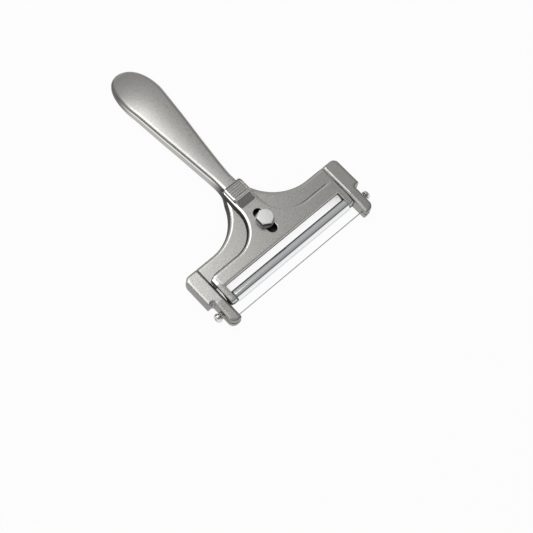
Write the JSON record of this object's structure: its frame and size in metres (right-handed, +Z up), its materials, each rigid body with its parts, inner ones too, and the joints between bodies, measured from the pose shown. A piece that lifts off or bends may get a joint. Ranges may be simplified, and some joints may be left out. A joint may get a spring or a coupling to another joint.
{
  "type": "cheese slicer",
  "caption": "Adjustable wire cheese slicer: a cast frame with a spoon handle, a cutting wire stretched between end cheeks, and a sliding carriage with a roller and a clamping bolt.",
  "frame": {"origin": "centre of the object's box, on the table that it rests on", "axes": "+X along the cutting wire towards the right cheek, +Y from the wire to the handle's end, +Z up"},
  "size_m": [0.1312, 0.1788, 0.0173],
  "materials": {
    "cast_metal": "satin",
    "roller_chrome": "polished",
    "bush_plastic": "satin",
    "plated_steel": "bright zinc plated",
    "wire_steel": "drawn",
    "screw_nickel": "nickel plated"
  },
  "bodies": {
    "frame_body": {"frame": "cast_metal", "bolt_washer": "plated_steel", "spring_washer": "plated_steel", "bolt_nut": "plated_steel", "cutting_wire": "wire_steel", "screw_washer_left": "screw_nickel", "screw_washer_right": "screw_nickel"},
    "carriage_body": {"carriage": "cast_metal", "roller_axle": "plated_steel"},
    "roller_body": {"roller_tube": "roller_chrome", "roller_bush_left": "bush_plastic", "roller_bush_right": "bush_plastic"},
    "clamp_body": {"centre_bolt": "plated_steel"},
    "left_screw_body": {"tension_screw_left": "screw_nickel"},
    "right_screw_body": {"tension_screw_right": "screw_nickel"}
  },
  "joints": [
    {"name": "carriage_slide", "type": "slide", "parent": "frame_body", "child": "carriage_body", "axis": [0, 1, 0], "range_m": [-0.0056, 0.0066]},
    {"name": "roller_spin", "type": "hinge", "parent": "carriage_body", "child": "roller_body", "pos_m": [0, -0.0763, 0.0084], "axis": [1, 0, 0], "continuous": true},
    {"name": "clamp_turn", "type": "hinge", "parent": "frame_body", "child": "clamp_body", "pos_m": [0, -0.0515, 0.0132], "axis": [0, 0, 1], "continuous": true},
    {"name": "left_screw_turn", "type": "hinge", "parent": "frame_body", "child": "left_screw_body", "pos_m": [-0.0606, -0.0791, 0.0053], "axis": [1, 0, 0], "continuous": true},
    {"name": "right_screw_turn", "type": "hinge", "parent": "frame_body", "child": "right_screw_body", "pos_m": [0.0606, -0.0791, 0.0053], "axis": [1, 0, 0], "continuous": true}
  ]
}
